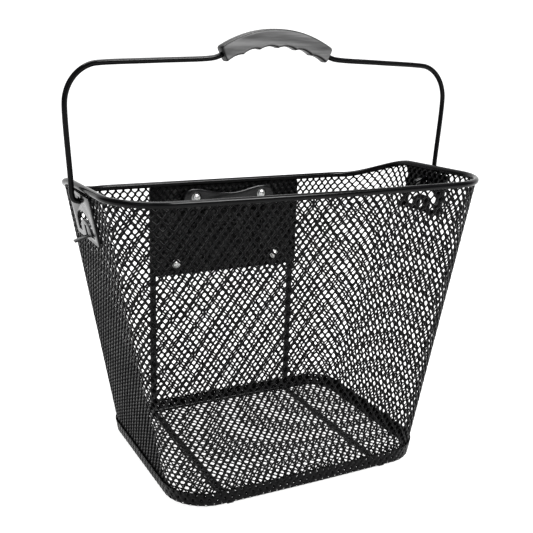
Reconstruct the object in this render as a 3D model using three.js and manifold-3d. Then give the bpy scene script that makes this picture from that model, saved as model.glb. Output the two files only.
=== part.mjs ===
// Quick-release bicycle handlebar basket of black expanded-metal mesh.
// Millimetres, +Z up, +X across the bicycle, -Y to the front of the bicycle.
// The underside of the two support strips is z = 0. The carrying handle turns about the X axis
// through the slots of the two side brackets; everything else is one rigid basket.
import * as THREE from 'three';
import { mergeVertices } from 'three/addons/utils/BufferGeometryUtils.js';
import Module from 'manifold-3d';

// Plan of the rim wire's centre line and of the wall's foot.
const RIM = { halfWidth: 171.5, back: 94, front: -93.8, backRadius: 54, frontRadius: 41, bow: 5.8 };
const FOOT = { halfWidth: 120, back: 94, front: -87.5, backRadius: 24, frontRadius: 34, bow: 2 };

// Heights of the rim wire's centre line. Its fall to the low back edge starts on the side, this
// far in front of the back corner.
const RIM_FRONT_Z = 258.8;
const RIM_PEAK_Z = 256;
const RIM_BACK_Z = 237;
const RIM_FALL_START = 11;
const RIM_FALL_LENGTH = 82;
const RIM_RADIUS = 2.75;

// Sheets.
const GAP = 0.3;
const SHEET = 1.2;
const FLOOR_Z = 2.8;
const WALL_FOOT_Z = FLOOR_Z + SHEET + GAP;
const FLANGE_TOP_Z = 15;
const BASE_WIRE_RADIUS = 2;

// Support strips.
const STRIP_X = 76;
const STRIP_WIDTH = 6;
const STRIP_THICK = 2.4;
const STRIP_TOP_Z = 163;
const STRIP_FRONT_Y = -88;

// Mounting plate, adapter and fastenings on the back wall.
const PLATE = { halfWidth: 80, bottom: 146.3, top: 234.5, thick: 2 };
const PLATE_Y = RIM.back + SHEET / 2 + GAP;
const ADAPTER_Y = PLATE_Y + PLATE.thick + GAP;
const ADAPTER_BASE = 5;
const RAIL_DEPTH = 12;
const TOP_SCREW = { x: 35, z: 223.4 };
const LOW_SCREW = { x: 54, z: 158.1 };
const CLAMP_THICK = 6;
const CLAMP_BORE_DEPTH = 2.6;
const SCREW_RADIUS = 2;
const SCREW_HOLE = 2.4;
const HEAD_RADIUS = 3.9;
const WASHER_THICK = 0.8;
const NUT_THICK = 3.2;

// Side brackets.
const BRACKET = { halfLength: 30, bottom: 215, top: 253.4, thick: 1.8 };
const TAB_LENGTH = 13;

// Carrying handle.
const PIVOT_Z = 246;
const BAIL_RADIUS = 2.25;
const LEG_X = 178;
const SHOULDER_X = 181.5;
const SHOULDER_Z = 321;
const BAR_END_X = 152;
const BAR_END_Z = 353;
const BAR_MID_Z = 357.3;
const GRIP = { halfLength: 53, depth: 12, endTop: 367, endBottom: 354, endLean: 5.5, top: 382, bevel: 5 };
const GRIP_CUSPS = [[-36, 360.5], [-19, 364.5], [0, 366], [19, 364.5], [36, 360.5]];
const GRIP_HOLLOW = 2.4;

// Puts the middle of the object's depth at y = 0.
const SHIFT_Y = -6;

const STEEL_BLACK = { color: 0x1b1c1e, roughness: 0.38, metalness: 0.6 };
const WIRE_BLACK = { color: 0x141517, roughness: 0.3, metalness: 0.6 };
const PLASTIC_BLACK = { color: 0x1d1e20, roughness: 0.55, metalness: 0 };
const PLASTIC_GRIP = { color: 0x35373a, roughness: 0.35, metalness: 0 };
const ZINC = { color: 0xb9bcc0, roughness: 0.3, metalness: 0.9 };

const wasm = await Module();
wasm.setup();

function toManifold(geometry) {
  const bare = geometry.index ? geometry.toNonIndexed() : geometry.clone();
  bare.deleteAttribute('normal');
  bare.deleteAttribute('uv');
  const merged = mergeVertices(bare, 1e-4);
  return new wasm.Manifold(new wasm.Mesh({
    numProp: 3,
    vertProperties: new Float32Array(merged.attributes.position.array),
    triVerts: new Uint32Array(merged.index.array),
  }));
}

function fromManifold(solid) {
  const mesh = solid.getMesh();
  const geometry = new THREE.BufferGeometry();
  geometry.setAttribute('position', new THREE.BufferAttribute(new Float32Array(mesh.vertProperties), 3));
  geometry.setIndex(new THREE.BufferAttribute(new Uint32Array(mesh.triVerts), 1));
  geometry.computeVertexNormals();
  return geometry;
}

function join(...geometries) {
  return fromManifold(geometries.map(toManifold).reduce((a, b) => a.add(b)));
}

function cut(geometry, ...tools) {
  return fromManifold(tools.map(toManifold).reduce((a, b) => a.subtract(b), toManifold(geometry)));
}

const smoothstep = (t) => t * t * (3 - 2 * t);
const clamp01 = (t) => Math.min(1, Math.max(0, t));

// Closed plan outline, counted clockwise from the middle of the back edge. Every outline has the
// same points in the same order, so that two of them can be joined by a ruled wall. `lift` is 0
// along the low back edge and 1 from the peak forward, and `run` goes from 0 at the back corner to
// 1 at the front corner.
function outline(plan) {
  const { halfWidth, back, front, backRadius, frontRadius, bow } = plan;
  const half = [];
  const liftAt = (length) => 1 - smoothstep(clamp01((RIM_FALL_START + length) / RIM_FALL_LENGTH));
  const rimSide = RIM.back - RIM.backRadius - RIM.front - RIM.frontRadius;
  for (let i = 0; i < 3; i++) {
    half.push({ x: ((halfWidth - backRadius) * i) / 3, y: back, lift: 0, run: 0 });
  }
  for (let i = 0; i <= 12; i++) {
    const angle = (Math.PI / 2) * (1 - i / 12);
    half.push({
      x: halfWidth - backRadius + backRadius * Math.cos(angle),
      y: back - backRadius + backRadius * Math.sin(angle),
      lift: liftAt(RIM.backRadius * angle),
      run: 0,
    });
  }
  const sideBack = back - backRadius;
  const sideFront = front + frontRadius;
  for (let i = 1; i < 8; i++) {
    const run = i / 8;
    const y = sideBack + (sideFront - sideBack) * run;
    half.push({ x: halfWidth, y, lift: liftAt(-rimSide * run), run });
  }
  for (let i = 0; i <= 8; i++) {
    const angle = (-Math.PI / 2) * (i / 8);
    half.push({
      x: halfWidth - frontRadius + frontRadius * Math.cos(angle),
      y: sideFront + frontRadius * Math.sin(angle),
      lift: 1,
      run: 1,
    });
  }
  for (let i = 1; i <= 4; i++) {
    half.push({ x: ((halfWidth - frontRadius) * (4 - i)) / 4, y: front, lift: 1, run: 1 });
  }
  for (const point of half) {
    const share = clamp01((sideFront - point.y) / frontRadius);
    point.y -= bow * share * (1 - (point.x / halfWidth) ** 2);
  }
  const mirrored = half.slice(1, -1).reverse().map((point) => ({ ...point, x: -point.x }));
  return half.concat(mirrored);
}

// Moves every point of an outline outward by a distance.
function grow(points, distance) {
  return points.map((point, i) => {
    const before = points[(i + points.length - 1) % points.length];
    const after = points[(i + 1) % points.length];
    const length = Math.hypot(after.x - before.x, after.y - before.y);
    return {
      ...point,
      x: point.x - (distance * (after.y - before.y)) / length,
      y: point.y + (distance * (after.x - before.x)) / length,
    };
  });
}

function rimHeight({ lift, run }) {
  const atCorner = RIM_BACK_Z + (RIM_PEAK_Z - RIM_BACK_Z) * lift;
  return atCorner + (RIM_FRONT_Z - atCorner) * run;
}

// Ring of wall points at the given heights above the foot, moved outward by a distance.
function wallRing(distance, height) {
  const foot = grow(outline(FOOT), distance);
  const rim = grow(outline(RIM), distance);
  return rim.map((top, i) => {
    const share = (height(top) - WALL_FOOT_Z) / (rimHeight(top) - WALL_FOOT_Z);
    return new THREE.Vector3(
      foot[i].x + (top.x - foot[i].x) * share,
      foot[i].y + (top.y - foot[i].y) * share,
      height(top),
    );
  });
}

// Closed skin over rings of points around the Z axis. The last ring is joined back to the first,
// or the two end rings, both level, are capped.
function skin(rings, capped = false) {
  const count = rings[0].length;
  const positions = rings.flat().flatMap((point) => [point.x, point.y, point.z]);
  const index = [];
  rings.slice(0, capped ? -1 : undefined).forEach((_, r) => {
    const here = r * count;
    const next = ((r + 1) % rings.length) * count;
    for (let i = 0; i < count; i++) {
      const j = (i + 1) % count;
      index.push(here + i, next + i, here + j, here + j, next + i, next + j);
    }
  });
  if (capped) {
    for (const ring of [0, rings.length - 1]) {
      const centre = positions.push(0, 0, rings[ring][0].z) / 3 - 1;
      for (let i = 0; i < count; i++) {
        const [a, b] = [ring * count + i, ring * count + ((i + 1) % count)];
        index.push(centre, ring ? b : a, ring ? a : b);
      }
    }
  }
  const geometry = new THREE.BufferGeometry();
  geometry.setAttribute('position', new THREE.Float32BufferAttribute(positions, 3));
  geometry.setIndex(index);
  geometry.computeVertexNormals();
  return geometry;
}

// Flat closed band of constant thickness along a polyline of [u, v] points.
function bandShape(points, thick) {
  const path = points.map(([u, v]) => new THREE.Vector2(u, v));
  const side = (sign) => path.map((point, i) => {
    const before = path[Math.max(i - 1, 0)];
    const after = path[Math.min(i + 1, path.length - 1)];
    const inward = point.clone().sub(before).normalize();
    const outward = after.clone().sub(point).normalize();
    if (i === 0) inward.copy(outward);
    if (i === path.length - 1) outward.copy(inward);
    const normal = new THREE.Vector2(-inward.y - outward.y, inward.x + outward.x).normalize();
    const miter = (sign * thick) / 2 / Math.max(0.5, normal.dot(new THREE.Vector2(-outward.y, outward.x)));
    return point.clone().addScaledVector(normal, miter);
  });
  return new THREE.Shape([...side(1), ...side(-1).reverse()]);
}

// Shape drawn as (x, z), extruded from y0 to y0 + depth.
function extrudeY(shape, y0, depth, options = {}) {
  const settings = { depth, bevelEnabled: false, curveSegments: 8, ...options };
  const geometry = new THREE.ExtrudeGeometry(shape, settings);
  geometry.rotateX(Math.PI / 2);
  geometry.translate(0, y0 + depth, 0);
  return geometry;
}

// Shape drawn as (y, z), extruded from x0 to x0 + width.
function extrudeX(shape, x0, width) {
  const geometry = new THREE.ExtrudeGeometry(shape, { depth: width, bevelEnabled: false, curveSegments: 8 });
  geometry.applyMatrix4(new THREE.Matrix4().set(0, 0, 1, x0, 1, 0, 0, 0, 0, 1, 0, 0, 0, 0, 0, 1));
  return geometry;
}

// Round bar along Y.
function rodY(radius, x, z, y0, y1, segments = 20) {
  const geometry = new THREE.CylinderGeometry(radius, radius, y1 - y0, segments);
  geometry.translate(x, (y0 + y1) / 2, z);
  return geometry;
}

function box(x0, x1, y0, y1, z0, z1) {
  const geometry = new THREE.BoxGeometry(x1 - x0, y1 - y0, z1 - z0);
  geometry.translate((x0 + x1) / 2, (y0 + y1) / 2, (z0 + z1) / 2);
  return geometry;
}

function roundedShape(points, radius) {
  const shape = new THREE.Shape();
  points.forEach((point, i) => {
    const corner = new THREE.Vector2(...point);
    const before = new THREE.Vector2(...points[(i + points.length - 1) % points.length]);
    const after = new THREE.Vector2(...points[(i + 1) % points.length]);
    const start = corner.clone().add(before.sub(corner).setLength(radius));
    const end = corner.clone().add(after.sub(corner).setLength(radius));
    if (i === 0) shape.moveTo(start.x, start.y);
    else shape.lineTo(start.x, start.y);
    shape.quadraticCurveTo(corner.x, corner.y, end.x, end.y);
  });
  shape.closePath();
  return shape;
}

// Four bolt positions: the top pair goes through the clamp bar, the low pair through the mesh alone.
const BOLTS = [
  { name: 'top_left', x: -TOP_SCREW.x, z: TOP_SCREW.z, top: true },
  { name: 'top_right', x: TOP_SCREW.x, z: TOP_SCREW.z, top: true },
  { name: 'low_left', x: -LOW_SCREW.x, z: LOW_SCREW.z, top: false },
  { name: 'low_right', x: LOW_SCREW.x, z: LOW_SCREW.z, top: false },
];
const boltHoles = (radius) => BOLTS.map(({ x, z }) => rodY(radius, x, z, RIM.back - 20, RIM.back + 40));

// Frame of a side bracket: u runs along +Y, v up the slope of the wall, and w outward.
const SLOPE = Math.atan2(RIM.halfWidth - FOOT.halfWidth, RIM_PEAK_Z - WALL_FOOT_Z);
function bracketFrame(side) {
  const up = new THREE.Vector3(side * Math.sin(SLOPE), 0, Math.cos(SLOPE));
  const out = new THREE.Vector3(side * Math.cos(SLOPE), 0, -Math.sin(SLOPE));
  const along = new THREE.Vector3().crossVectors(up, out);
  const wallX = FOOT.halfWidth + (PIVOT_Z - WALL_FOOT_Z) * Math.tan(SLOPE);
  return new THREE.Matrix4().makeBasis(along, up, out).setPosition(side * wallX, 0, PIVOT_Z);
}

// Upright slot in the plane of a bracket, from v0 to v1.
function slotShape(halfWidth, v0, v1) {
  const shape = new THREE.Shape();
  shape.absarc(0, v1 - halfWidth, halfWidth, 0, Math.PI);
  shape.absarc(0, v0 + halfWidth, halfWidth, Math.PI, 2 * Math.PI);
  return shape;
}

// Height above the hinge along the slope of a bracket.
const toV = (z) => (z - PIVOT_Z) / Math.cos(SLOPE);

// Arched window of a bracket, around its tongue.
function drawArch(path) {
  const sill = toV(219.5);
  path.moveTo(-22, sill);
  path.lineTo(-22, toV(224));
  path.bezierCurveTo(-22, toV(243.5), 22, toV(243.5), 22, toV(224));
  path.lineTo(22, sill);
  path.lineTo(13, sill);
  path.lineTo(13, toV(223));
  path.bezierCurveTo(13, toV(233.5), -13, toV(233.5), -13, toV(223));
  path.lineTo(-13, sill);
  path.closePath();
  return path;
}

// Corners of the hole in the tongue.
function tongueHole() {
  const corners = [[-2.8, 217.5], [2.8, 217.5], [2.8, 227], [-2.8, 227]];
  return corners.map(([u, z]) => new THREE.Vector2(u, toV(z)));
}

// Wall of the basket, open behind the windows of the two brackets.
function wallMesh() {
  const rimGap = RIM_RADIUS + 2 * GAP;
  const top = (point) => rimHeight(point) - rimGap;
  const foot = () => WALL_FOOT_Z;
  const sheet = skin([
    wallRing(SHEET / 2, foot),
    wallRing(SHEET / 2, top),
    wallRing(-SHEET / 2, top),
    wallRing(-SHEET / 2, foot),
  ]);
  const openings = [slotShape(4, -5, 5.6), drawArch(new THREE.Shape()), new THREE.Shape(tongueHole())];
  const sideCuts = [-1, 1].flatMap((side) => openings.map((shape) => {
    const geometry = new THREE.ExtrudeGeometry(shape, { depth: 16, bevelEnabled: false, curveSegments: 8 });
    geometry.translate(0, 0, -8);
    return geometry.applyMatrix4(bracketFrame(side));
  }));
  return cut(sheet, ...sideCuts, ...boltHoles(SCREW_HOLE));
}

// Floor with a turned-up flange around the foot of the wall.
function floorMesh() {
  const inner = SHEET / 2 + GAP;
  return skin([
    wallRing(inner + SHEET, () => FLOOR_Z),
    wallRing(inner + SHEET, () => FLANGE_TOP_Z),
    wallRing(inner, () => FLANGE_TOP_Z),
    wallRing(inner, () => FLOOR_Z + SHEET),
  ], true);
}

function ringWire(points, radius, steps) {
  const curve = new THREE.CatmullRomCurve3(points, true, 'centripetal');
  return new THREE.TubeGeometry(curve, steps, radius, 8, true);
}

function rimWire() {
  return ringWire(wallRing(0, rimHeight), RIM_RADIUS, 120);
}

function baseWire() {
  const inset = SHEET / 2 + GAP + 0.6 + BASE_WIRE_RADIUS;
  const height = WALL_FOOT_Z + BASE_WIRE_RADIUS;
  return ringWire(wallRing(-inset, () => height), BASE_WIRE_RADIUS, 72);
}

function supportStrip(x) {
  const back = ADAPTER_Y + STRIP_THICK / 2;
  const under = STRIP_THICK / 2;
  const path = [[back, STRIP_TOP_Z], [back, under + 1.5], [back - 0.4, under + 0.4], [back - 1.5, under],
    [STRIP_FRONT_Y, under]];
  return extrudeX(bandShape(path, STRIP_THICK), x - STRIP_WIDTH / 2, STRIP_WIDTH);
}

// Stiff plate behind the mesh, with two curved lightening slots and a middle window.
function mountPlate() {
  const { halfWidth, bottom, top, thick } = PLATE;
  const outer = [[-halfWidth, bottom], [halfWidth, bottom], [halfWidth, top], [-halfWidth, top]];
  const plate = extrudeY(roundedShape(outer, 3), PLATE_Y, thick);
  const through = (shape) => extrudeY(shape, PLATE_Y - 2, thick + 4);
  const slots = [-1, 1].map((side) => {
    const path = [[26, 208], [35, 197], [37, 185], [34, 172]].map(([x, z]) => [side * x, z]);
    return through(bandShape(path, 7));
  });
  const window = through(roundedShape([[-12, 184], [12, 184], [12, 194], [-12, 194]], 3));
  return cut(plate, ...slots, window, ...boltHoles(SCREW_HOLE));
}

// Moulded half of the quick-release coupling: a base with two lipped rails that take the tongue
// of the handlebar bracket from below, closed above by a stop bar.
function adapterBody() {
  const outer = roundedShape([[-64, 149], [64, 149], [46, 231], [-46, 231]], 8);
  const base = extrudeY(outer, ADAPTER_Y, ADAPTER_BASE);
  const y0 = ADAPTER_Y + ADAPTER_BASE - 0.5;
  const y1 = ADAPTER_Y + ADAPTER_BASE + RAIL_DEPTH;
  const rails = [-1, 1].flatMap((side) => {
    const [a, b, c] = [side * 27, side * 21, side * 14];
    return [
      box(Math.min(a, b), Math.max(a, b), y0, y1, 163, 212),
      box(Math.min(a, c), Math.max(a, c), y1 - 4, y1, 163, 212),
    ];
  });
  const stop = box(-27, 27, y0, y1, 210, 217);
  return cut(join(base, ...rails, stop), ...boltHoles(SCREW_HOLE));
}

// Dog-bone bar inside the basket that spreads the load of the top screws.
function clampBar() {
  const [x, z] = [TOP_SCREW.x + 3, TOP_SCREW.z - 1.5];
  const shape = new THREE.Shape();
  shape.moveTo(-x, z + 10);
  shape.bezierCurveTo(-x + 14, z + 10, -18, z + 4.5, 0, z + 4.5);
  shape.bezierCurveTo(18, z + 4.5, x - 14, z + 10, x, z + 10);
  shape.absarc(x, z, 10, Math.PI / 2, -Math.PI / 2, true);
  shape.bezierCurveTo(x - 14, z - 10, 18, z - 4.5, 0, z - 4.5);
  shape.bezierCurveTo(-18, z - 4.5, -x + 14, z - 10, -x, z - 10);
  shape.absarc(-x, z, 10, -Math.PI / 2, -1.5 * Math.PI, true);
  const back = RIM.back - SHEET / 2 - GAP;
  const bar = extrudeY(shape, back - CLAMP_THICK, CLAMP_THICK);
  const bores = BOLTS.filter(({ top }) => top).map((bolt) => (
    rodY(HEAD_RADIUS + 1, bolt.x, bolt.z, back - CLAMP_THICK - 1, back - CLAMP_THICK + CLAMP_BORE_DEPTH)));
  return cut(bar, ...bores, ...boltHoles(SCREW_HOLE));
}

// Faces that the fastenings of one bolt bear on, along Y.
function boltStack({ top }) {
  const inside = RIM.back - SHEET / 2 - GAP;
  const seat = top ? inside - CLAMP_THICK + CLAMP_BORE_DEPTH : inside;
  const washer = seat - GAP - WASHER_THICK;
  const outerWasher = ADAPTER_Y + ADAPTER_BASE + GAP;
  const nut = outerWasher + WASHER_THICK + GAP;
  return { washer, head: washer - GAP, outerWasher, nut, end: nut + NUT_THICK + 1.6 };
}

// Pan-head screw turned about its own axis, head towards -Y.
function screw(bolt) {
  const { head, end } = boltStack(bolt);
  const profile = [[0, -2.9], [1.8, -2.7], [3.1, -2.1], [3.8, -1.1], [HEAD_RADIUS, 0], [SCREW_RADIUS, 0],
    [SCREW_RADIUS, end - head - 0.5], [SCREW_RADIUS - 0.5, end - head], [0, end - head]];
  const geometry = new THREE.LatheGeometry(profile.map(([r, y]) => new THREE.Vector2(r, y)), 20);
  return geometry.translate(bolt.x, head, bolt.z);
}

function ringShape(outer, bolt) {
  outer.holes.push(new THREE.Path().absarc(bolt.x, bolt.z, SCREW_RADIUS + GAP, 0, 2 * Math.PI, true));
  return outer;
}

function washer(bolt, y0) {
  const disc = new THREE.Shape().absarc(bolt.x, bolt.z, 4.5, 0, 2 * Math.PI, false);
  return extrudeY(ringShape(disc, bolt), y0, WASHER_THICK);
}

function nut(bolt) {
  const corners = [0, 1, 2, 3, 4, 5].map((k) => {
    const angle = (Math.PI / 3) * k;
    return new THREE.Vector2(bolt.x + 4.04 * Math.cos(angle), bolt.z + 4.04 * Math.sin(angle));
  });
  return extrudeY(ringShape(new THREE.Shape(corners), bolt), boltStack(bolt).nut, NUT_THICK);
}

// Sheet-metal bracket outside the wall, with the handle's slot, an arched window around a tongue,
// and a small tab bent outward from the tongue's hole.
function sideBracket(side) {
  const [bottom, top, half] = [toV(BRACKET.bottom), toV(BRACKET.top), BRACKET.halfLength];
  const shape = roundedShape([[-half, bottom], [half, bottom], [half, top], [-half, top]], 2);
  shape.holes.push(slotShape(BAIL_RADIUS + GAP, -BAIL_RADIUS - GAP, 4.6));
  shape.holes.push(drawArch(new THREE.Path()));
  shape.holes.push(new THREE.Path(tongueHole()));
  const { thick } = BRACKET;
  const plate = new THREE.ExtrudeGeometry(shape, { depth: thick, bevelEnabled: false, curveSegments: 8 });
  const tab = new THREE.BoxGeometry(5.6, 1.4, TAB_LENGTH);
  tab.rotateX(0.12);
  tab.translate(0, toV(217), TAB_LENGTH / 2 + 0.4);
  const geometry = join(plate, tab);
  geometry.translate(0, 0, SHEET / 2 + GAP);
  return geometry.applyMatrix4(bracketFrame(side));
}

// Centre line of the handle's wire in the plane y = 0, from the left tail to the right tail.
function bailPoints() {
  const half = [[-157.5, PIVOT_Z - 2.5], [-163, PIVOT_Z - 0.6], [-168, PIVOT_Z], [-173.5, PIVOT_Z],
    [-176.6, PIVOT_Z + 1.4], [-LEG_X, PIVOT_Z + 5], [-LEG_X - 0.6, PIVOT_Z + 18]];
  for (let i = 0; i <= 6; i++) {
    const angle = (Math.PI / 2) * (i / 6);
    half.push([-BAR_END_X - (SHOULDER_X - BAR_END_X) * Math.cos(angle),
      SHOULDER_Z + (BAR_END_Z - SHOULDER_Z) * Math.sin(angle)]);
  }
  half.push([-105, (BAR_END_Z + BAR_MID_Z) / 2], [-60, BAR_MID_Z], [-54, BAR_MID_Z + 1.4], [-46, BAR_MID_Z + 5],
    [-30, BAR_MID_Z + 11.5], [-14, BAR_MID_Z + 15.4]);
  const right = half.slice().reverse().map(([x, z]) => [-x, z]);
  return [...half, [0, BAR_MID_Z + 16.4], ...right].map(([x, z]) => new THREE.Vector3(x, 0, z));
}

function wireAlong(points, radius, steps, sides) {
  const curve = new THREE.CatmullRomCurve3(points, false, 'centripetal');
  const section = new THREE.Shape(Array.from({ length: sides }, (_, k) => {
    const angle = (2 * Math.PI * k) / sides;
    return new THREE.Vector2(radius * Math.cos(angle), radius * Math.sin(angle));
  }));
  return new THREE.ExtrudeGeometry(section, { steps, extrudePath: curve, bevelEnabled: false });
}

function bailWire() {
  return wireAlong(bailPoints(), BAIL_RADIUS, 110, 8);
}

// Moulded crescent grip with finger grooves below, closed around the wire.
function grip() {
  const { halfLength, depth, endTop, endBottom, endLean, top, bevel } = GRIP;
  const shape = new THREE.Shape();
  const rise = bevel - 1;
  const end = [halfLength - bevel - endLean, endBottom + rise];
  let last = [-end[0], end[1]];
  shape.moveTo(...last);
  for (const point of [...GRIP_CUSPS.map(([x, z]) => [x, z + rise]), end]) {
    shape.quadraticCurveTo((last[0] + point[0]) / 2, (last[1] + point[1]) / 2 + 2 * GRIP_HOLLOW, ...point);
    last = point;
  }
  shape.lineTo(halfLength - bevel, endTop - bevel);
  shape.bezierCurveTo(28, top - bevel + 1, 12, top - bevel, 0, top - bevel);
  shape.bezierCurveTo(-12, top - bevel, -28, top - bevel + 1, -halfLength + bevel, endTop - bevel);
  shape.closePath();
  const geometry = extrudeY(shape, -depth / 2 + bevel, depth - 2 * bevel, {
    bevelEnabled: true, bevelThickness: bevel, bevelSize: bevel, bevelSegments: 4, curveSegments: 6,
  });
  const wire = bailPoints();
  return cut(geometry, wireAlong(wire, BAIL_RADIUS + GAP, 110, 8));
}

const group = new THREE.Group();
group.position.y = SHIFT_Y;

function add(name, geometry, look) {
  const mesh = new THREE.Mesh(geometry, new THREE.MeshStandardMaterial(look));
  mesh.name = name;
  group.add(mesh);
}

add('wall_mesh', wallMesh(), STEEL_BLACK);
add('floor_mesh', floorMesh(), STEEL_BLACK);
add('rim_wire', rimWire(), WIRE_BLACK);
add('base_wire', baseWire(), WIRE_BLACK);
add('mount_plate', mountPlate(), STEEL_BLACK);
add('adapter_body', adapterBody(), PLASTIC_BLACK);
add('clamp_bar', clampBar(), PLASTIC_BLACK);
for (const [name, side] of [['left', -1], ['right', 1]]) {
  add(`support_strip_${name}`, supportStrip(side * STRIP_X), STEEL_BLACK);
  add(`side_bracket_${name}`, sideBracket(side), STEEL_BLACK);
}
for (const bolt of BOLTS) {
  const stack = boltStack(bolt);
  add(`screw_${bolt.name}`, screw(bolt), ZINC);
  add(`washer_inner_${bolt.name}`, washer(bolt, stack.washer), ZINC);
  add(`washer_outer_${bolt.name}`, washer(bolt, stack.outerWasher), ZINC);
  add(`nut_${bolt.name}`, nut(bolt), ZINC);
}
add('bail_wire', bailWire(), WIRE_BLACK);
add('grip', grip(), PLASTIC_GRIP);

export default group;
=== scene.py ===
# Handlebar basket of expanded-metal mesh: the looks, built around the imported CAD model.
# All lengths are written in millimetres in the model's frame and scaled to metres where meshes are made.
import math

import bmesh
import bpy
import numpy as np
from mathutils import Matrix, Vector


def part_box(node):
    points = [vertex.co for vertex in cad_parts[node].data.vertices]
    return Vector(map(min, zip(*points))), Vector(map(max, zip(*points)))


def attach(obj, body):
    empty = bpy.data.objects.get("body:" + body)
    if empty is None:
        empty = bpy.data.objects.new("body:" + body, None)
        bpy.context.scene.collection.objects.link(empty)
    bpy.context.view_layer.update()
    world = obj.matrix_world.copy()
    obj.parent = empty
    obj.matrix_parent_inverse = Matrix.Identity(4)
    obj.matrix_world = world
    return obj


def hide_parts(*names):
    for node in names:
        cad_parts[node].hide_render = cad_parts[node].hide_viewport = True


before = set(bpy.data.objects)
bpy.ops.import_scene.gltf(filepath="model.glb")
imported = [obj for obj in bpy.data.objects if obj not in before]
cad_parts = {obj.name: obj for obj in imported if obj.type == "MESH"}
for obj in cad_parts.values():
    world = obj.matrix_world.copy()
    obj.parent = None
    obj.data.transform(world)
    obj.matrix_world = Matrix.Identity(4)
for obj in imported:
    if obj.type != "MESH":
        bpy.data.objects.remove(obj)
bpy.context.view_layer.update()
MM = 0.001
# The wall is drawn about its own middle, which lies this far along Y from the frame's origin.
SHIFT_Y = -6.0

# Plan of the wall at the rim and at the foot: half width, back and front, the radii of the back and
# front corners, and how far the front bows out.
RIM = {"half": 171.5, "back": 94.0, "front": -93.8, "rb": 54.0, "rf": 41.0, "bow": 5.8}
FOOT = {"half": 120.0, "back": 94.0, "front": -87.5, "rb": 24.0, "rf": 34.0, "bow": 2.0}
RIM_FRONT_Z, RIM_PEAK_Z, RIM_BACK_Z = 258.8, 256.0, 237.0
# How far before the back corner the rim starts to ease down, and over what length along the rim.
FALL_START, FALL_LENGTH = 11.0, 82.0
BEYOND_FALL = 999.0
RIM_RADIUS = 2.75
WALL_FOOT_Z = 4.3
COLUMNS = 126
ROWS = 52
# Columns stand this much closer along the back.
BACK_CROWD = 1.09
PIVOT_Z = 246.0


# ---------------------------------------------------------------- camera
def look(position, yaw, pitch, roll):
    """Camera matrix at a position, turned from +Y by yaw, raised by pitch and rolled."""
    forward = Vector((math.sin(yaw) * math.cos(pitch), math.cos(yaw) * math.cos(pitch), math.sin(pitch)))
    right = Vector((math.cos(yaw), -math.sin(yaw), 0.0))
    up = right.cross(forward)
    right, up = right * math.cos(roll) + up * math.sin(roll), up * math.cos(roll) - right * math.sin(roll)
    turn = Matrix((right, up, -forward)).transposed()
    return Matrix.Translation(position) @ turn.to_4x4()


camera = bpy.data.objects.new("camera", bpy.data.cameras.new("camera"))
bpy.context.scene.collection.objects.link(camera)
bpy.context.scene.camera = camera
camera.data.sensor_width = 36.0
camera.data.lens = 56.71
camera.data.shift_x = -0.0029
camera.data.shift_y = 0.0025
camera.data.clip_end = 50.0
camera.matrix_world = look(Vector((-0.3440, -0.6537, 0.3817)), math.radians(27.885), math.radians(-15.885),
                           math.radians(1.832))


# ---------------------------------------------------------------- plan outlines and wall surface
def outline(plan, s):
    """Plan point for each s in [0, 1): from the middle of the back, over +X, the front and -X."""
    half, back, front, rb, rf, bow = (plan[k] for k in ("half", "back", "front", "rb", "rf", "bow"))
    s = np.asarray(s, float) % 1.0
    mirror = s > 0.5
    t = np.where(mirror, 1.0 - s, s) * 2.0
    edge, k, f = SEGMENTS, np.zeros(t.shape, int), np.zeros(t.shape)
    for i in range(5):
        inside = (t >= edge[i]) & (t <= edge[i + 1])
        k = np.where(inside, i, k)
        f = np.where(inside, (t - edge[i]) / (edge[i + 1] - edge[i]), f)
    side_back, side_front = back - rb, front + rf
    a = np.pi / 2 * (1 - f)
    b = -np.pi / 2 * f
    x = np.choose(k, [(half - rb) * f, half - rb + rb * np.cos(a), half + 0 * f,
                      half - rf + rf * np.cos(b), (half - rf) * (1 - f)])
    y = np.choose(k, [back + 0 * f, back - rb + rb * np.sin(a), side_back + (side_front - side_back) * f,
                      side_front + rf * np.sin(b), front + 0 * f])
    share = np.clip((side_front - y) / rf, 0, 1)
    y = y - bow * share * (1 - (x / half) ** 2)
    return np.where(mirror, -x, x), y, k, f


def segment_lengths(plan):
    """Lengths of half the outline's parts: back, back corner, side, front corner, front."""
    return np.array([plan["half"] - plan["rb"], plan["rb"] * np.pi / 2,
                     plan["back"] - plan["rb"] - plan["front"] - plan["rf"],
                     plan["rf"] * np.pi / 2, plan["half"] - plan["rf"]])


mean_lengths = (segment_lengths(RIM) + segment_lengths(FOOT)) / 2
SEGMENTS = np.concatenate([[0], np.cumsum(mean_lengths)]) / mean_lengths.sum()


def rim_height(s):
    """Height of the rim wire's centre: low along the back, easing up around the back corners, then
    climbing straight along the sides to the front."""
    _, _, k, f = outline(RIM, s)
    _, corner, side, _, _ = segment_lengths(RIM)
    length = np.choose(k, [corner + BEYOND_FALL * (1 - f), corner * (1 - f), -side * f,
                           -BEYOND_FALL + 0 * f, -BEYOND_FALL + 0 * f])
    fall = np.clip((FALL_START + length) / FALL_LENGTH, 0, 1)
    lift = 1 - fall * fall * (3 - 2 * fall)
    run = np.where(k == 2, f, np.where(k > 2, 1.0, 0.0))
    z = RIM_BACK_Z + (RIM_PEAK_Z - RIM_BACK_Z) * lift
    return z + (RIM_FRONT_Z - z) * run


def wall_point(s, h):
    """Point of the wall's middle surface. h is 0 at the wall's foot and 1 at the rim wire's centre."""
    fx, fy, _, _ = outline(FOOT, s)
    rx, ry, _, _ = outline(RIM, s)
    z = WALL_FOOT_Z + (rim_height(s) - WALL_FOOT_Z) * h
    return np.stack([fx + (rx - fx) * h, fy + (ry - fy) * h, z], -1)


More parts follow.
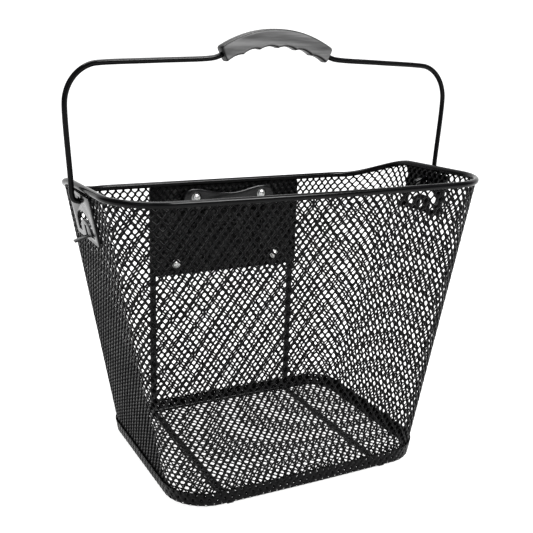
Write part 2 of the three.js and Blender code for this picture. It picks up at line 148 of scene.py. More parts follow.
def wall_surface(s, h, d):
    """Point at distance d outward from the wall's middle surface."""
    e = 1e-4
    along = wall_point(s + e, h) - wall_point(s - e, h)
    up = wall_point(s, h + 0.01) - wall_point(s, h - 0.01)
    normal = np.cross(up, along)
    normal /= np.linalg.norm(normal, axis=-1, keepdims=True)
    return wall_point(s, h) + normal * np.asarray(d)[..., None]


# ---------------------------------------------------------------- mesh helpers
def new_mesh(name, points, faces):
    """Smooth-shaded object from points in millimetres and one or more arrays of faces."""
    points = np.asarray(points, float).reshape(-1, 3).copy()
    points[:, 1] += SHIFT_Y
    points *= MM
    groups = faces if isinstance(faces, list) else [faces]
    faces = [np.asarray(f, np.int32).reshape(len(f), -1) for f in groups if len(f)]
    mesh = bpy.data.meshes.new(name)
    mesh.vertices.add(len(points))
    mesh.vertices.foreach_set("co", points.astype(np.float32).ravel())
    loops = np.concatenate([f.ravel() for f in faces])
    counts = np.concatenate([np.full(len(f), f.shape[1]) for f in faces])
    mesh.loops.add(len(loops))
    mesh.loops.foreach_set("vertex_index", loops.astype(np.int32))
    mesh.polygons.add(len(counts))
    mesh.polygons.foreach_set("loop_start", np.concatenate([[0], np.cumsum(counts)[:-1]]).astype(np.int32))
    mesh.polygons.foreach_set("use_smooth", np.full(len(counts), True))
    mesh.update(calc_edges=True)
    mesh.validate()
    obj = bpy.data.objects.new(name, mesh)
    bpy.context.scene.collection.objects.link(obj)
    return obj


def grid_faces(rows, cols, wrap_rows=False, wrap_cols=True, flip=False):
    """Quads over a grid of rows x cols points."""
    r = np.arange(rows if wrap_rows else rows - 1)
    c = np.arange(cols if wrap_cols else cols - 1)
    r, c = np.meshgrid(r, c, indexing="ij")
    r2, c2 = (r + 1) % rows, (c + 1) % cols
    quads = np.stack([r * cols + c, r * cols + c2, r2 * cols + c2, r2 * cols + c], -1).reshape(-1, 4)
    return quads[:, ::-1] if flip else quads


def catmull(points, per_span, closed=False):
    """Centripetal Catmull-Rom curve through the points."""
    p = np.asarray(points, float)
    n = len(p)
    out = []
    for i in range(n if closed else n - 1):
        if closed:
            q = [p[(i + k) % n] for k in (-1, 0, 1, 2)]
        else:
            q = [p[max(i - 1, 0)], p[i], p[i + 1], p[min(i + 2, n - 1)]]
            if i == 0:
                q[0] = 2 * p[0] - p[1]
            if i == n - 2:
                q[3] = 2 * p[-1] - p[-2]
        t = [0.0]
        for a, b in zip(q[:-1], q[1:]):
            t.append(t[-1] + max(np.linalg.norm(b - a) ** 0.5, 1e-6))
        for u in np.linspace(t[1], t[2], per_span, endpoint=False):
            a = [((t[k + 1] - u) * q[k] + (u - t[k]) * q[k + 1]) / (t[k + 1] - t[k]) for k in range(3)]
            b = [((t[k + 2] - u) * a[k] + (u - t[k]) * a[k + 1]) / (t[k + 2] - t[k]) for k in range(2)]
            out.append(((t[2] - u) * b[0] + (u - t[1]) * b[1]) / (t[2] - t[1]))
    if not closed:
        out.append(p[-1])
    return np.array(out)


def tube(name, path, radius, sides=20, closed=False, up=(0, 1, 0)):
    """Round wire along a path, with domed ends where it is open."""
    path = np.asarray(path, float)
    if closed:
        tangent = np.roll(path, -1, 0) - np.roll(path, 1, 0)
    else:
        tangent = np.gradient(path, axis=0)
    tangent /= np.linalg.norm(tangent, axis=1, keepdims=True)
    side = np.cross(tangent, np.array(up, float))
    side /= np.linalg.norm(side, axis=1, keepdims=True)
    other = np.cross(side, tangent)
    radii = np.full(len(path), float(radius))
    if not closed:
        rings = [(1.0, 0.0), (0.95, 0.31), (0.81, 0.59), (0.5, 0.87), (0.12, 0.99)]
        start = [(path[0] - tangent[0] * radius * 0.55 * c, r) for r, c in reversed(rings[1:])]
        end = [(path[-1] + tangent[-1] * radius * 0.55 * c, r) for r, c in rings[1:]]
        path = np.array([q for q, _ in start] + list(path) + [q for q, _ in end])
        radii = np.array([r * radius for _, r in start] + list(radii) + [r * radius for _, r in end])
        pad = len(start)
        side = np.concatenate([[side[0]] * pad, side, [side[-1]] * pad])
        other = np.concatenate([[other[0]] * pad, other, [other[-1]] * pad])
    a = np.linspace(0, 2 * np.pi, sides, endpoint=False)
    ring = side[:, None] * np.cos(a)[None, :, None] + other[:, None] * np.sin(a)[None, :, None]
    points = path[:, None] + ring * radii[:, None, None]
    faces = [grid_faces(len(path), sides, wrap_rows=closed, flip=True)]
    points = points.reshape(-1, 3)
    if not closed:
        last = (len(path) - 1) * sides
        faces.append(np.arange(sides)[None, :])
        faces.append((last + np.arange(sides))[None, ::-1])
    return new_mesh(name, points, faces)


# ---------------------------------------------------------------- expanded metal
def around_cell(side, slant, apex):
    """Ten points around a cell, in pitches, mirrored from its side, slant and apex points."""
    upper = [side, slant, apex, (-slant[0], slant[1]), (-side[0], side[1])]
    return np.array(upper + [(x, -y) for x, y in reversed(upper)])


# Around each opening: the hexagon shared with its neighbours, and the edge of the opening itself.
CELL = around_cell((0.5, 0.103), (0.25, 0.25), (0.0, 0.397))
OPENING = around_cell((0.36, 0.05), (0.2, 0.176), (0.0, 0.305))
SPOKES = len(CELL)
# Distance out of the sheet and half thickness at those points, in millimetres.
CELL_LIFT = np.array([1, 0, -1, 0, 1, -1, 0, 1, 0, -1]) * 0.22
CELL_HALF = np.array([0.55, 0.5, 0.55, 0.5, 0.55, 0.55, 0.5, 0.55, 0.5, 0.55])
OPENING_HALF = np.array([0.5, 0.38, 0.4, 0.38, 0.5, 0.5, 0.38, 0.4, 0.38, 0.5])
STRAND_TILT = 0.42
UNEVEN_LIFT = 0.03
UNEVEN_EDGE = 0.006
# Border points closer than this share of a pitch are one point.
SHARED_WITHIN = 0.02
SMALLEST_FACE = 0.02


def expanded_sheet(centres, pitch_u, pitch_v, place, tilt=1.0, thick=1.0, wrap_u=None, seed=3, scale=None):
    """Expanded metal around the given opening centres. place(u, v, d) is the 3-D point at distance d
    outward from the sheet's middle. Each strand lies twisted in the sheet, one edge out and one in,
    with bonds thicker than strands. Returns the points and the quads, three for each spoke."""
    rng = np.random.default_rng(seed)
    n = len(centres)
    pitch = np.array([pitch_u, pitch_v])
    scale = np.ones(n) if scale is None else scale
    border = (centres[:, None] + CELL[None] * pitch).reshape(-1, 2)
    key = border.copy()
    if wrap_u is not None:
        key[:, 0] = np.mod(key[:, 0] + 1e-6, wrap_u)
    cells = np.round(key / (pitch * SHARED_WITHIN)).astype(np.int64)
    _, first, twin = np.unique(cells, axis=0, return_index=True, return_inverse=True)
    twin = twin.reshape(n, SPOKES)
    uv = border[first]
    lift = np.tile(CELL_LIFT, n)[first] * tilt + rng.normal(0, UNEVEN_LIFT, len(first))
    half = np.tile(CELL_HALF, n)[first] * thick
    hole = centres[:, None] + OPENING[None] * pitch * scale[:, None, None]
    hole = (hole + rng.normal(0, UNEVEN_EDGE, hole.shape) * pitch).reshape(-1, 2)
    hole_lift = np.tile(-STRAND_TILT * tilt * OPENING[:, 1] / OPENING[2, 1], n)
    hole_half = np.tile(OPENING_HALF, n) * thick
    points = np.concatenate([place(uv[:, 0], uv[:, 1], lift + half), place(uv[:, 0], uv[:, 1], lift - half),
                             place(hole[:, 0], hole[:, 1], hole_lift + hole_half),
                             place(hole[:, 0], hole[:, 1], hole_lift - hole_half)])
    m = len(first)
    across = n * SPOKES
    edge = 2 * m + np.arange(across).reshape(n, SPOKES)
    after, edge_after = np.roll(twin, -1, 1), np.roll(edge, -1, 1)
    outer = np.stack([twin, after, edge_after, edge], -1)
    inner = np.stack([twin + m, edge + across, edge_after + across, after + m], -1)
    wall = np.stack([edge, edge_after, edge_after + across, edge + across], -1)
    return points, np.concatenate([outer, inner, wall], 1).reshape(-1, 4)


def kept(points, quads, keep):
    """The quads chosen by keep, with only the points they use."""
    quads = quads[keep]
    used, quads = np.unique(quads, return_inverse=True)
    return points[used], quads.reshape(-1, 4)


def large_enough(points, quads):
    """False for quads squeezed flat where a sheet ends."""
    return np.linalg.norm(points[quads[:, 0]] - points[quads[:, 2]], axis=1) > SMALLEST_FACE


def column_table():
    """Outline parameter of each column at each height: equal spacing, a little closer at the back."""
    heights, columns = np.linspace(-0.02, 1.02, 40), np.linspace(0, 1, 1009)
    s = np.linspace(0, 1, 2001)
    table = []
    for h in heights:
        p = wall_point(s, np.full(s.shape, h))
        step = np.hypot(np.diff(p[:, 0]), np.diff(p[:, 1]))
        segment = outline(RIM, (s[1:] + s[:-1]) / 2)[2]
        length = np.concatenate([[0], np.cumsum(step * np.where(segment == 0, BACK_CROWD, 1.0))])
        table.append(np.interp(columns, length / length[-1], s))
    return np.array(table)


COLUMN_TABLE = column_table()
# Share of the wall's height where the net starts, ends and has its top row, and how much lower the
# rows run along the back.
NET_LOW, NET_HIGH, TOP_ROW, BACK_DROP = -0.004, 0.995, 0.975, 0.008
# The side brackets' windows: the sill, then half width, shoulder and control height of the arch and of
# the tongue that stands on the sill inside it, then the hole in the tongue.
WINDOW_SILL_Z = 218.7
WINDOW_ARCH = (22.8, 224.0, 244.3)
WINDOW_TONGUE = (12.2, 223.0, 232.5)
HOLE_HALF, HOLE_LOW_Z, HOLE_HIGH_Z = 3.4, 217.0, 227.6
BRACKET_BEYOND_X = 140.0
# Columns to each side of the hinge that the bracket reaches over.
BRACKET_COLUMNS = 4.2


def column(u, h):
    """Outline parameter at column position u (0 to 1 once around) and height h."""
    rows, cols = COLUMN_TABLE.shape
    turn = np.floor(u)
    a = np.clip((np.asarray(h) + 0.02) / 1.04 * (rows - 1), 0, rows - 1.001)
    b = (u - turn) * (cols - 1)
    i, j = a.astype(int), np.minimum(b.astype(int), cols - 2)
    a, b = a - i, b - j
    low = COLUMN_TABLE[i, j] * (1 - b) + COLUMN_TABLE[i, j + 1] * b
    high = COLUMN_TABLE[i + 1, j] * (1 - b) + COLUMN_TABLE[i + 1, j + 1] * b
    return low * (1 - a) + high * a + turn


def pivot_cell():
    """Column and height of the handle's hinge on the +X side."""
    wall_height = 250.0
    u = np.linspace(0.1, 0.4, 3001)
    h = np.full(u.shape, 0.95)
    for _ in range(4):
        h = h + (PIVOT_Z - wall_point(column(u, h), h)[:, 2]) / wall_height
    k = np.argmin(np.abs(wall_point(column(u, h), h)[:, 1]))
    return u[k], h[k]


def arch_top(y, half, shoulder, control):
    """Height of an arch of the bracket's window at distance y from its middle."""
    t = np.linspace(0, 1, 41)
    across = half * (1 - 3 * t ** 2 + 2 * t ** 3) - half * (3 * t ** 2 - 2 * t ** 3)
    height = shoulder + 3 * t * (1 - t) * (control - shoulder)
    return np.interp(y, across[::-1], height[::-1], left=-1.0, right=-1.0)


def in_window(centre):
    """True where a point of the wall lies behind the windows of the two side brackets."""
    y, z = centre[:, 1], centre[:, 2]
    arch = (z > WINDOW_SILL_Z) & (z < arch_top(y, *WINDOW_ARCH))
    tongue = (z < arch_top(y, *WINDOW_TONGUE)) & (np.abs(y) < WINDOW_TONGUE[0])
    hole = (np.abs(y) < HOLE_HALF) & (z > HOLE_LOW_Z) & (z < HOLE_HIGH_Z)
    return (np.abs(centre[:, 0]) > BRACKET_BEYOND_X) & ((arch & ~tongue) | hole)


def turn_gap(a, b):
    """Distance between two column positions, the short way around."""
    return np.abs(np.mod(a - b + 0.5, 1.0) - 0.5)


def backness(u):
    """1 along the back of the wall, 0 from the middle of its sides to the front."""
    f = np.clip((0.2 - turn_gap(u, 0.0)) / 0.06, 0, 1)
    return f * f * (3 - 2 * f)


def wall_meshes():
    """The wall in four quarters, its openings in staggered rows that follow the rim."""
    pitch_u, pitch_v = 1.0 / COLUMNS, 2.0 / ROWS
    pivot_u, pivot_h = pivot_cell()
    pivot_row = round(pivot_h * ROWS)
    start = pivot_h - pivot_row / ROWS
    j, i = np.meshgrid(np.arange(0, ROWS + 1), np.arange(COLUMNS), indexing="ij")
    shift = round(pivot_u * COLUMNS * 2) / 2 + 0.5 * (pivot_row % 2)
    u = (i + shift % 1.0 + 0.5 * (j % 2)) / COLUMNS
    centres = np.stack([u.ravel(), (j / ROWS + start).ravel()], -1)
    centres = centres[(centres[:, 1] > NET_LOW) & (centres[:, 1] < 1.012)]
    gap = np.minimum(turn_gap(centres[:, 0], pivot_u), turn_gap(centres[:, 0], -pivot_u))
    at_pivot = (gap < 0.2 / COLUMNS) & (np.abs(centres[:, 1] - pivot_h) < 0.2 / ROWS)
    scale = np.where(at_pivot, 1.15, 1.0)
    scale = scale * (1.05 - 0.06 * backness(centres[:, 0]))
    # Over the two side brackets the top row is pressed almost shut.
    over_bracket = (gap < BRACKET_COLUMNS / COLUMNS) & (centres[:, 1] > TOP_ROW)
    scale = np.where(over_bracket, 0.25, scale)

    def place(a, b, d):
        b = np.clip(b - BACK_DROP * backness(a), NET_LOW, NET_HIGH)
        return wall_surface(column(a, b), b, d)

    points, quads = expanded_sheet(centres, pitch_u, pitch_v, place, thick=1.1, wrap_u=1.0, scale=scale)
    middle = points[quads].mean(1)
    keep = ~in_window(middle) & large_enough(points, quads)
    quarter = np.repeat((np.mod(centres[:, 0] + 0.125, 1.0) * 4).astype(int), 3 * SPOKES)
    return [new_mesh(f"wall_mesh_{name}", *kept(points, quads[:, ::-1], keep & (quarter == k)))
            for k, name in enumerate(("back", "right", "front", "left"))]


def flange_mesh():
    """Edge of the floor panel turned up outside the wall's foot."""
    half_row = 4.4
    foot_z, top_z, stand_off = 2.9, 14.8, 1.55
    j, i = np.meshgrid(np.arange(4), np.arange(COLUMNS), indexing="ij")
    u = (i + 0.27 + 0.5 * (j % 2)) / COLUMNS
    centres = np.stack([u.ravel(), (1.0 + j * half_row).ravel()], -1)

    def place(a, b, d):
        ragged = top_z + 0.35 * np.sin(a * 377.0) * np.sin(a * 91.0)
        z = np.clip(b + 2.6, foot_z, ragged)
        s = column(a, np.full(np.shape(a), 0.02))
        h = (z - WALL_FOOT_Z) / (rim_height(s) - WALL_FOOT_Z)
        return wall_surface(s, h, d + stand_off)

    points, quads = expanded_sheet(centres, 1.0 / COLUMNS, 2 * half_row, place, tilt=0.7, thick=0.8,
                                   wrap_u=1.0, seed=7, scale=np.full(len(centres), 0.4))
    return new_mesh("floor_flange_mesh", *kept(points, quads[:, ::-1], large_enough(points, quads)))


def floor_mesh():
    """Floor panel inside the wall's foot, a little uneven, its outer cells pressed into the edge."""
    pitch_x, pitch_y = 7.3, 9.8
    i, j = np.meshgrid(np.arange(-20, 21), np.arange(-24, 25), indexing="ij")
    x = (i + 0.5 * (j % 2)) * pitch_x
    y = 3.0 + j * pitch_y / 2
    s = np.linspace(0, 1, 2000, endpoint=False)
    edge = wall_surface(s, np.full(s.shape, -0.005), np.full(s.shape, 1.3))[:, :2]
    angle = np.arctan2(edge[:, 1], edge[:, 0])
    order = np.argsort(angle)
    angle, radius = angle[order], np.hypot(edge[:, 0], edge[:, 1])[order]

    def limit(px, py):
        return np.interp(np.arctan2(py, px), angle, radius, period=2 * np.pi)

    inside = np.hypot(x, y) < limit(x, y) + 1.5

    def place(px, py, d):
        far = np.hypot(px, py)
        f = np.minimum(1.0, limit(px, py) / np.maximum(far, 1e-6))
        z = 3.55 + d + 0.22 * np.sin(px * 0.05 + 1.0) * np.cos(py * 0.043)
        return np.stack([px * f, py * f, z], -1)

    centres = np.stack([x[inside], y[inside]], -1)
    points, quads = expanded_sheet(centres, pitch_x, pitch_y, place, tilt=-0.55, thick=0.78, seed=11,
                                   scale=np.full(len(centres), 0.92))
    return new_mesh("basket_floor_mesh", *kept(points, quads, large_enough(points, quads)))


# ---------------------------------------------------------------- wires
def rim_wire():
    s = np.arange(480) / 480
    return tube("rim_wire_tube", wall_point(s, np.ones(480)), RIM_RADIUS, sides=20, closed=True, up=(0, 0, 1))


def base_wire():
    """Wire ring lying on the floor panel just inside the wall's foot."""
    s = np.arange(360) / 360
    path = wall_surface(s, np.full(360, 0.008), np.full(360, -3.5))
    path[:, 2] = WALL_FOOT_Z + 2.0
    return tube("base_wire_ring", path, 2.0, sides=14, closed=True, up=(0, 0, 1))


def bail_points():
    """Points along the handle's wire: each end through its bracket, up the leg, over the shoulder and
    along the arch, which rises where it enters the grip."""
    z = PIVOT_Z
    half = [(-157.5, z - 2.5), (-163, z - 0.6), (-168, z), (-173.5, z), (-176.6, z + 1.4), (-178, z + 5),
            (-178.6, z + 18)]
    for i in range(7):
        a = math.pi / 2 * i / 6
        half.append((-152 - 29.5 * math.cos(a), 321 + 32 * math.sin(a)))
    half += [(-105, 355.15), (-60, 357.3), (-54, 358.7), (-46, 362.3), (-30, 368.8), (-14, 372.7)]
    right = [(-x, z) for x, z in reversed(half)]
    return np.array([(x, 0.0, z) for x, z in half + [(0, 373.7)] + right])


def bail_wire():
    return tube("bail_wire_rod", catmull(bail_points(), 8), 2.25, sides=20, up=(0, 1, 0))


# ---------------------------------------------------------------- refined copies of CAD pieces
def refined(node, name, bevel=0.35, segments=2, angle=32.0, smooth=40.0):
    """Copy of a CAD node with its flat faces whole and its edges rounded."""
    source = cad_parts[node]
    mesh = source.data.copy()
    mesh.name = name
    obj = bpy.data.objects.new(name, mesh)
    bpy.context.scene.collection.objects.link(obj)
    bm = bmesh.new()
    bm.from_mesh(mesh)
    bmesh.ops.remove_doubles(bm, verts=bm.verts, dist=0.02 * MM)
    bmesh.ops.dissolve_limit(bm, angle_limit=math.radians(1.0), verts=bm.verts, edges=bm.edges)
    bm.to_mesh(mesh)
    bm.free()
    mod = obj.modifiers.new("round", "BEVEL")
    mod.width = bevel * MM
    mod.segments = segments
    mod.limit_method = "ANGLE"
    mod.angle_limit = math.radians(angle)
    mod.harden_normals = False
    apply_modifiers(obj)
    obj.data.materials.clear()
    obj.data.shade_smooth()
    obj.data.set_sharp_from_angle(angle=math.radians(smooth))
    return obj


def apply_modifiers(obj):
    graph = bpy.context.evaluated_depsgraph_get()
    done = bpy.data.meshes.new_from_object(obj.evaluated_get(graph))
    obj.modifiers.clear()
    old = obj.data
    obj.data = done
    bpy.data.meshes.remove(old)


def lathe_y(name, profile, centre, segments=48):
    """Turned piece about an axis along Y through centre. Profile is (radius, y) from the -Y end."""
    a = np.linspace(0, 2 * np.pi, segments, endpoint=False)
    x0, y0, z0 = centre
    rings = np.array([[(x0 + max(r, 1e-4) * math.cos(t), y0 + y, z0 + max(r, 1e-4) * math.sin(t)) for t in a]
                      for r, y in profile])
    obj = new_mesh(name, rings.reshape(-1, 3), [grid_faces(len(profile), segments)])
    bm = bmesh.new()
    bm.from_mesh(obj.data)
    bmesh.ops.remove_doubles(bm, verts=bm.verts, dist=0.005 * MM)
    bmesh.ops.recalc_face_normals(bm, faces=bm.faces)
    bm.to_mesh(obj.data)
    bm.free()
    return obj


def cut(obj, cutter):
    mod = obj.modifiers.new("cut", "BOOLEAN")
    mod.operation = "DIFFERENCE"
    mod.solver = "EXACT"
    mod.object = cutter
    apply_modifiers(obj)
    bpy.data.objects.remove(cutter)


def screw(name, node):
    """Pan-head screw with a cross recess and a chamfered end."""
    low, high = (np.array(v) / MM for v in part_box(node))
    x, z = (low[0] + high[0]) / 2, (low[2] + high[2]) / 2
    length = high[1] - low[1]
    profile = [(0.0, 0.0), (1.1, 0.06), (2.1, 0.28), (2.9, 0.7), (3.45, 1.25), (3.75, 1.8), (3.86, 2.3),
               (3.9, 2.75), (3.82, 2.9), (2.1, 2.9), (2.0, 3.0)]
    y = 4.0
    while y < length - 1.0:
        profile += [(2.0, y), (1.72, y + 0.35)]
        y += 0.7
    profile += [(1.7, length - 0.6), (1.3, length), (0.0, length)]
    obj = lathe_y(name, profile, (x, low[1] - SHIFT_Y, z))
    turn = (x * 7.3 + z * 1.9) % 1.5
    blades = []
    for k in range(2):
        bm = bmesh.new()
        bmesh.ops.create_cube(bm, size=1.0)
        for v in bm.verts:
            deep = v.co.y > 0
            v.co.x *= 2.6 if deep else 4.6
            v.co.z *= 0.62 if deep else 0.95
            v.co.y = 1.9 if deep else -0.6
        quarter_turn = Matrix.Rotation(turn + k * math.pi / 2, 3, "Y")
        bmesh.ops.rotate(bm, verts=bm.verts, cent=(0, 0, 0), matrix=quarter_turn)
        for v in bm.verts:
            v.co += Vector((x, low[1], z))
            v.co *= MM
        mesh = bpy.data.meshes.new("blade")
        bm.to_mesh(mesh)
        bm.free()
        blade = bpy.data.objects.new("blade", mesh)
        bpy.context.scene.collection.objects.link(blade)
        blades.append(blade)
    for blade in blades:
        cut(obj, blade)
    obj.data.shade_smooth()
    obj.data.set_sharp_from_angle(angle=math.radians(35))
    return obj


def grip():
    """Moulded crescent grip: a slab with rounded edges, shallow finger hollows along the underside
    with cusps between them, and plain ends that lean with the arch."""
    t = np.concatenate([[-1, -0.997, -0.988], np.linspace(-0.97, 0.97, 170), [0.988, 0.997, 1]])
    top = 382.0 - 15.0 * np.abs(t) ** 2.1
    cusp_x = np.array([-53, -36, -19, 0, 19, 36, 53]) / 53.0
    cusp_z = np.array([354, 360.5, 364.5, 366, 364.5, 360.5, 354.0])
    under = np.interp(t, cusp_x, cusp_z)
    k = np.clip(np.searchsorted(cusp_x, t, side="right") - 1, 0, 5)
    f = (t - cusp_x[k]) / (cusp_x[k + 1] - cusp_x[k])
    under = under + 2.2 * np.sin(np.pi * f) ** 0.8 * np.where((k > 0) & (k < 5), 1.0, 0.75)
    inset = 1.5 * (1 - np.sqrt(1 - np.clip(1 - (1 - np.abs(t)) * 53.0 / 1.5, 0, 1) ** 2))
    top, under, width = top - inset, under + inset, 6.0 - inset
    sides = 56
    a = np.linspace(0, 2 * np.pi, sides, endpoint=False)
    power = 0.42
    across = np.sign(np.cos(a)) * np.abs(np.cos(a)) ** power
    rise = (np.sign(np.sin(a)) * np.abs(np.sin(a)) ** power + 1) / 2
    seam = 0.18 * np.exp(-((rise - 0.5) / 0.03) ** 2)
    reach = 53.0 - 5.5 * (1 - rise)
    points = np.zeros((len(t), sides, 3))
    points[:, :, 0] = t[:, None] * reach[None]
    points[:, :, 1] = (width[:, None] + seam[None]) * across[None]
    points[:, :, 2] = under[:, None] + (top - under)[:, None] * rise[None]
    hollow = 0.9 * np.exp(-((rise - 0.36) / 0.16) ** 2)[None] * np.clip((1 - np.abs(t)) * 14, 0, 1)[:, None]
    points[:, :, 1] -= hollow * np.sign(across)[None]
    base = (len(t) - 1) * sides
    faces = [grid_faces(len(t), sides), np.arange(sides)[None, ::-1], (base + np.arange(sides))[None, :]]
    return new_mesh("handle_grip", points.reshape(-1, 3), faces)


# ---------------------------------------------------------------- materials
def node_material(name):
    material = bpy.data.materials.new(name)
    material.use_nodes = True
    tree = material.node_tree
    return material, tree, tree.nodes["Principled BSDF"]


def noise(tree, scale, detail=4.0, rough=0.55, vector=None):
    node = tree.nodes.new("ShaderNodeTexNoise")
    node.inputs["Scale"].default_value = scale
    node.inputs["Detail"].default_value = detail
    node.inputs["Roughness"].default_value = rough
    if vector is None:
        vector = tree.nodes.new("ShaderNodeTexCoord").outputs["Object"]
    tree.links.new(vector, node.inputs["Vector"])
    return node


def ramp(tree, source, low, high, a=0.35, b=0.65):
    """Maps source values from a to b onto low to high."""
    node = tree.nodes.new("ShaderNodeMapRange")
    node.inputs["From Min"].default_value = a
    node.inputs["From Max"].default_value = b
    node.inputs["To Min"].default_value = low
    node.inputs["To Max"].default_value = high
    tree.links.new(source, node.inputs["Value"])
    return node.outputs["Result"]


def mix_colour(tree, factor, a, b):
    node = tree.nodes.new("ShaderNodeMix")
    node.data_type = "RGBA"
    node.inputs["A"].default_value = (*a, 1)
    node.inputs["B"].default_value = (*b, 1)
    tree.links.new(factor, node.inputs["Factor"])
    return node.outputs["Result"]


def bump(tree, shader, height, strength, distance):
    node = tree.nodes.new("ShaderNodeBump")
    node.inputs["Strength"].default_value = strength
    node.inputs["Distance"].default_value = distance * MM
    tree.links.new(height, node.inputs["Height"])
    tree.links.new(node.outputs["Normal"], shader.inputs["Normal"])


def powder_coat(name, colour, worn, roughness, spread, grain, specular):
    """Black powder coat: fine orange peel, patchy gloss, paler where corners are rubbed."""
    material, tree, shader = node_material(name)
    shader.inputs["Metallic"].default_value = 0.0
    shader.inputs["IOR"].default_value = 1.5
    shader.inputs["Specular IOR Level"].default_value = specular
    patches = noise(tree, 38.0)
    geometry = tree.nodes.new("ShaderNodeNewGeometry")
    edge = ramp(tree, geometry.outputs["Pointiness"], 0.0, 1.0, 0.53, 0.60)
    speck = noise(tree, 620.0, 2.0)
    rub = tree.nodes.new("ShaderNodeMath")
    rub.operation = "MULTIPLY"
    tree.links.new(edge, rub.inputs[0])
    tree.links.new(ramp(tree, speck.outputs["Fac"], 0.0, 0.8), rub.inputs[1])
    tree.links.new(mix_colour(tree, rub.outputs[0], colour, worn), shader.inputs["Base Color"])
    tree.links.new(ramp(tree, patches.outputs["Fac"], roughness - spread, roughness + spread),
                   shader.inputs["Roughness"])
    peel = noise(tree, grain, 2.0)
    bump(tree, shader, peel.outputs["Fac"], 0.3, 0.04)
    return material


def moulded(name, colour, second, roughness, spread, grain, depth, specular):
    """Moulded plastic: fine texture, slight tone drift and handling shine."""
    material, tree, shader = node_material(name)
    shader.inputs["IOR"].default_value = 1.49
    shader.inputs["Specular IOR Level"].default_value = specular
    drift = noise(tree, 22.0)
    tree.links.new(mix_colour(tree, drift.outputs["Fac"], colour, second), shader.inputs["Base Color"])
    shine = noise(tree, 60.0, 5.0)
    tree.links.new(ramp(tree, shine.outputs["Fac"], roughness - spread, roughness + spread),
                   shader.inputs["Roughness"])
    texture = noise(tree, grain, 3.0)
    bump(tree, shader, texture.outputs["Fac"], 0.4, depth)
    return material


def grip_plastic(name):
    """Satin grip plastic with a painted sheen: its sides are painted a paler grey, in faint streaks along the
    mould, and its edges keep the dark colour.
    """
    material, tree, shader = node_material(name)
    shader.inputs["IOR"].default_value = 1.49
    shader.inputs["Specular IOR Level"].default_value = 0.22
    place = tree.nodes.new("ShaderNodeTexCoord")
    stretch = tree.nodes.new("ShaderNodeMapping")
    stretch.inputs["Scale"].default_value = (14.0, 60.0, 170.0)
    tree.links.new(place.outputs["Object"], stretch.inputs["Vector"])
    streak = noise(tree, 1.0, 4.0, vector=stretch.outputs["Vector"])
    split = tree.nodes.new("ShaderNodeSeparateXYZ")
    tree.links.new(place.outputs["Normal"], split.inputs["Vector"])
    # Painted sheen: the sides turned towards ±Y, found from the object-space normal, are painted paler, in
    # streaks.
    side = tree.nodes.new("ShaderNodeMath")
    side.operation = "ABSOLUTE"
    tree.links.new(split.outputs["Y"], side.inputs[0])
    painted_sheen_mask = tree.nodes.new("ShaderNodeMath")
    painted_sheen_mask.operation = "MULTIPLY"
    tree.links.new(ramp(tree, side.outputs[0], 0.0, 1.0, 0.8, 0.998), painted_sheen_mask.inputs[0])
    tree.links.new(ramp(tree, streak.outputs["Fac"], 0.2, 1.0, 0.32, 0.72), painted_sheen_mask.inputs[1])
    # Dark plastic colour, and the pale grey of the painted sheen on the sides.
    tree.links.new(mix_colour(tree, painted_sheen_mask.outputs[0], (0.006, 0.006, 0.006), (0.17, 0.17, 0.171)),
                   shader.inputs["Base Color"])
    shine = noise(tree, 60.0, 5.0)
    tree.links.new(ramp(tree, shine.outputs["Fac"], 0.34, 0.48), shader.inputs["Roughness"])
    texture = noise(tree, 1300.0, 3.0)
    bump(tree, shader, texture.outputs["Fac"], 0.4, 0.02)
    return material


def zinc_plate(name):
    """Bright zinc with faint blue-yellow passivation and fine turning marks."""
    material, tree, shader = node_material(name)
    shader.inputs["Metallic"].default_value = 1.0
    drift = noise(tree, 240.0)
    tree.links.new(mix_colour(tree, drift.outputs["Fac"], (0.78, 0.80, 0.83), (0.88, 0.87, 0.82)),
                   shader.inputs["Base Color"])
    marks = noise(tree, 900.0, 3.0)
    tree.links.new(ramp(tree, marks.outputs["Fac"], 0.16, 0.42), shader.inputs["Roughness"])
    bump(tree, shader, marks.outputs["Fac"], 0.3, 0.03)
    return material


MESH_STEEL = powder_coat("mesh_powder_coat", (0.0018, 0.0018, 0.002), (0.006, 0.006, 0.0065),
                         0.32, 0.08, 900.0, 0.07)
WIRE_STEEL = powder_coat("wire_powder_coat", (0.0018, 0.0018, 0.002), (0.02, 0.02, 0.022),
                         0.18, 0.05, 1100.0, 0.1)
SHEET_STEEL = powder_coat("sheet_powder_coat", (0.0025, 0.0025, 0.0027), (0.03, 0.03, 0.033),
                          0.22, 0.05, 800.0, 0.32)
ADAPTER = moulded("adapter_nylon", (0.0025, 0.0025, 0.0027), (0.005, 0.005, 0.0053),
                  0.2, 0.06, 1500.0, 0.02, 0.4)
GRIP = grip_plastic("grip_plastic")
ZINC = zinc_plate("zinc_plating")


# ---------------------------------------------------------------- the pieces
def piece(obj, body, material, slot, *nodes):
    """Hands over one piece: its body, its look and the nodes it stands in for."""
    obj.data.materials.clear()
    obj.data.materials.append(material)
    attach(obj, body)
    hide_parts(*nodes)


for quarter in wall_meshes():
    piece(quarter, "basket", MESH_STEEL, "mesh_steel", "wall_mesh")
piece(floor_mesh(), "basket", MESH_STEEL, "mesh_steel", "floor_mesh")
piece(flange_mesh(), "basket", MESH_STEEL, "mesh_steel", "floor_mesh")
piece(rim_wire(), "basket", WIRE_STEEL, "wire_steel", "rim_wire")
piece(base_wire(), "basket", WIRE_STEEL, "wire_steel", "base_wire")
piece(bail_wire(), "handle", WIRE_STEEL, "wire_steel", "bail_wire")
piece(grip(), "handle", GRIP, "grip_plastic", "grip")
piece(refined("mount_plate", "mounting_plate", 0.4), "basket", SHEET_STEEL, "sheet_steel", "mount_plate")
piece(refined("adapter_body", "adapter_moulding", 0.8, 3), "basket", ADAPTER, "adapter_plastic",
      "adapter_body")
piece(refined("clamp_bar", "dog_bone_clamp", 0.6, 3), "basket", ADAPTER, "adapter_plastic", "clamp_bar")
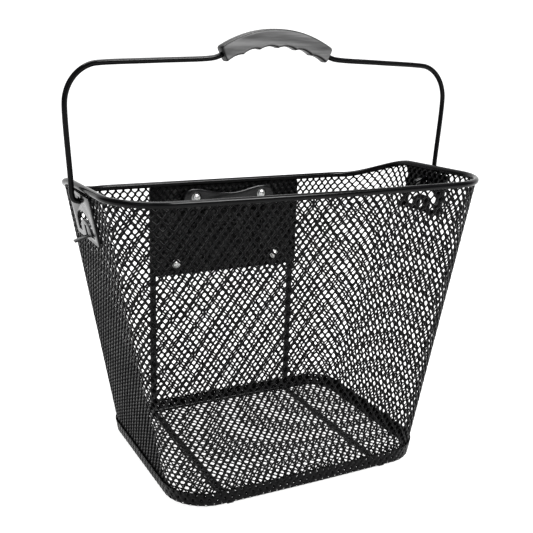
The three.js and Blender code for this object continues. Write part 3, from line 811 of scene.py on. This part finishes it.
for side in ("left", "right"):
    piece(refined(f"support_strip_{side}", f"strip_{side}", 0.5), "basket", SHEET_STEEL, "sheet_steel",
          f"support_strip_{side}")
    piece(refined(f"side_bracket_{side}", f"bracket_{side}", 0.35), "basket", SHEET_STEEL, "sheet_steel",
          f"side_bracket_{side}")
for where in ("top_left", "top_right", "low_left", "low_right"):
    piece(screw(f"pan_screw_{where}", f"screw_{where}"), "basket", ZINC, "zinc_steel", f"screw_{where}")
    for kind in ("washer_inner", "washer_outer", "nut"):
        piece(refined(f"{kind}_{where}", f"{kind}_{where}_plated", 0.15), "basket", ZINC, "zinc_steel",
              f"{kind}_{where}")


# ---------------------------------------------------------------- floor, backdrop and light
def studio_floor():
    """Pale paper that gives off some light of its own, curved up behind the basket."""
    size, curve, depth = 4.0, 0.8, 3.0
    profile = [(-size, 0.0), (depth - curve, 0.0)]
    profile += [(depth - curve + curve * math.sin(a), curve - curve * math.cos(a))
                for a in np.linspace(0.1, math.pi / 2, 14)]
    profile += [(depth, 4.5)]
    points = [(x, y, z) for y, z in profile for x in (-6.0, 6.0)]
    mesh = bpy.data.meshes.new("studio_floor")
    strips = [(2 * i, 2 * i + 1, 2 * i + 3, 2 * i + 2) for i in range(len(profile) - 1)]
    mesh.from_pydata(points, [], strips)
    mesh.shade_smooth()
    obj = bpy.data.objects.new("studio_floor", mesh)
    bpy.context.scene.collection.objects.link(obj)
    obj.rotation_euler.z = math.radians(-28)
    material, tree, shader = node_material("studio_paper")
    paper = noise(tree, 3.0)
    tone = mix_colour(tree, paper.outputs["Fac"], (0.26, 0.26, 0.26), (0.30, 0.30, 0.30))
    tree.links.new(tone, shader.inputs["Base Color"])
    shader.inputs["Roughness"].default_value = 0.9
    shader.inputs["Emission Color"].default_value = (1, 1, 1, 1)
    shader.inputs["Emission Strength"].default_value = 0.93
    mesh.materials.append(material)


def soft_light(name, position, target, size, power):
    data = bpy.data.lights.new(name, "AREA")
    data.shape = "RECTANGLE"
    data.size, data.size_y = size
    data.energy = power
    obj = bpy.data.objects.new(name, data)
    bpy.context.scene.collection.objects.link(obj)
    obj.location = position
    obj.rotation_euler = (Vector(target) - Vector(position)).to_track_quat("-Z", "Y").to_euler()
    return obj


studio_floor()
soft_light("key", (0.75, -1.25, 2.0), (0, 0, 0.2), (0.8, 0.8), 80)
soft_light("fill", (-1.5, -1.4, 1.2), (0, 0, 0.2), (1.2, 1.2), 4)
soft_light("top", (0.0, 0.5, 2.4), (0, 0, 0.1), (1.6, 1.2), 80)
# The surroundings are white to the camera and dim as a light.
world = bpy.data.worlds.new("studio")
bpy.context.scene.world = world
world.use_nodes = True
sky = world.node_tree.nodes["Background"]
sky.inputs["Color"].default_value = (1, 1, 1, 1)
ray = world.node_tree.nodes.new("ShaderNodeLightPath")
amount = world.node_tree.nodes.new("ShaderNodeMapRange")
amount.inputs["To Min"].default_value = 0.2
amount.inputs["To Max"].default_value = 1.0
world.node_tree.links.new(ray.outputs["Is Camera Ray"], amount.inputs["Value"])
world.node_tree.links.new(amount.outputs["Result"], sky.inputs["Strength"])
bpy.context.scene.view_settings.view_transform = "Standard"
